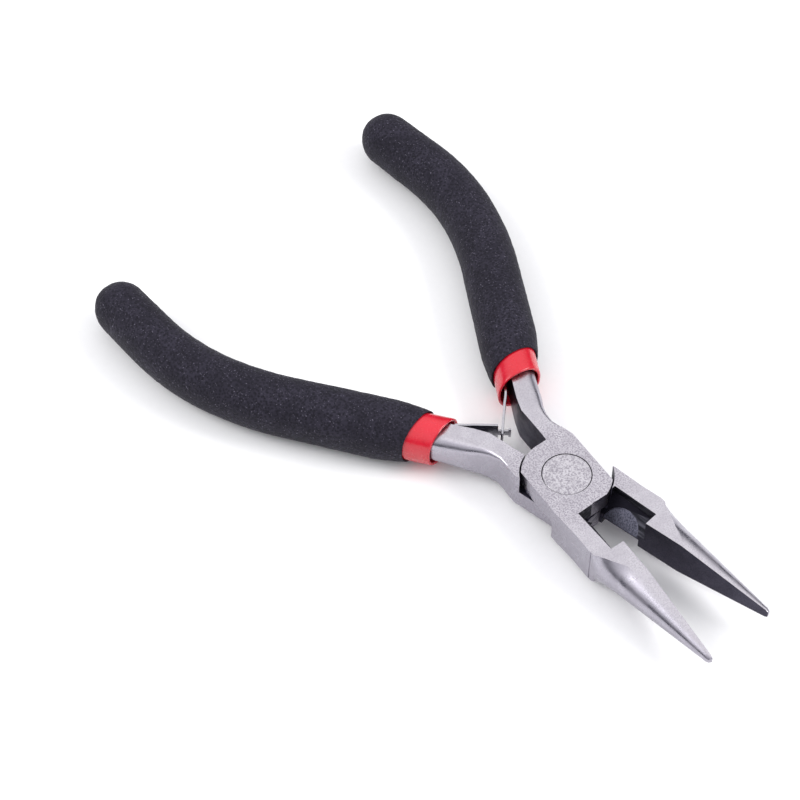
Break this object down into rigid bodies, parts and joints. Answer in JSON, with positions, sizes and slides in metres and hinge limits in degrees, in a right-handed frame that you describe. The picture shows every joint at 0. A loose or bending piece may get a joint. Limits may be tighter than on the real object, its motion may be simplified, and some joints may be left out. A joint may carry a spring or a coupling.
{
  "type": "long-nose pliers with side cutter",
  "caption": "Small long-nose pliers: tapered half-round jaws, side cutter, flush riveted lap joint, interlocking leaf springs, and curved foam grips over red sleeves.",
  "frame": {"origin": "on the pivot axis, at mid thickness of the joint", "axes": "+X towards the jaw tips along the line midway between the handles, +Z along the pivot axis out of the face with the cutter's bevels, +Y towards the handle of the upper forging"},
  "size_m": [0.1217, 0.071, 0.0104],
  "materials": {
    "steel": "satin ground forging with fine speckle, darker on the inner faces",
    "rivet_steel": "ground flush, finely mottled",
    "spring_steel": "dark tempered strip with bright edges",
    "red_vinyl": "glossy soft vinyl",
    "black_foam": "fine-celled matt foam"
  },
  "bodies": {
    "lower_half": {"lower_forging": "steel", "pivot_rivet": "rivet_steel", "lower_spring_root": "spring_steel", "lower_spring_rivet": "rivet_steel", "lower_inner_sleeve": "red_vinyl", "lower_foam_grip": "black_foam"},
    "upper_half": {"upper_forging": "steel", "upper_spring_root": "spring_steel", "upper_spring_rivet": "rivet_steel", "upper_inner_sleeve": "red_vinyl", "upper_foam_grip": "black_foam"},
    "upper_leaf": {"upper_spring_leaf": "spring_steel"},
    "lower_leaf": {"lower_spring_leaf": "spring_steel"}
  },
  "joints": [
    {"name": "pivot", "type": "hinge", "parent": "lower_half", "child": "upper_half", "pos_m": [0, 0, 0], "axis": [0, 0, 1], "range_deg": [-3, 17.8], "stiffness_Nm_per_rad": 0.25},
    {"name": "upper_leaf_flex", "type": "hinge", "parent": "upper_half", "child": "upper_leaf", "pos_m": [-0.02041, 0.00575, 0], "axis": [0, 0, 1], "range_deg": [-3.5, 20]},
    {"name": "lower_leaf_flex", "type": "hinge", "parent": "lower_half", "child": "lower_leaf", "pos_m": [-0.02041, -0.00575, 0], "axis": [0, 0, 1], "range_deg": [-20, 3.5]}
  ],
  "couplings": [
    {"joint": "upper_leaf_flex", "follows": "pivot", "ratio": 1.1},
    {"joint": "lower_leaf_flex", "follows": "pivot", "ratio": -1.1}
  ]
}
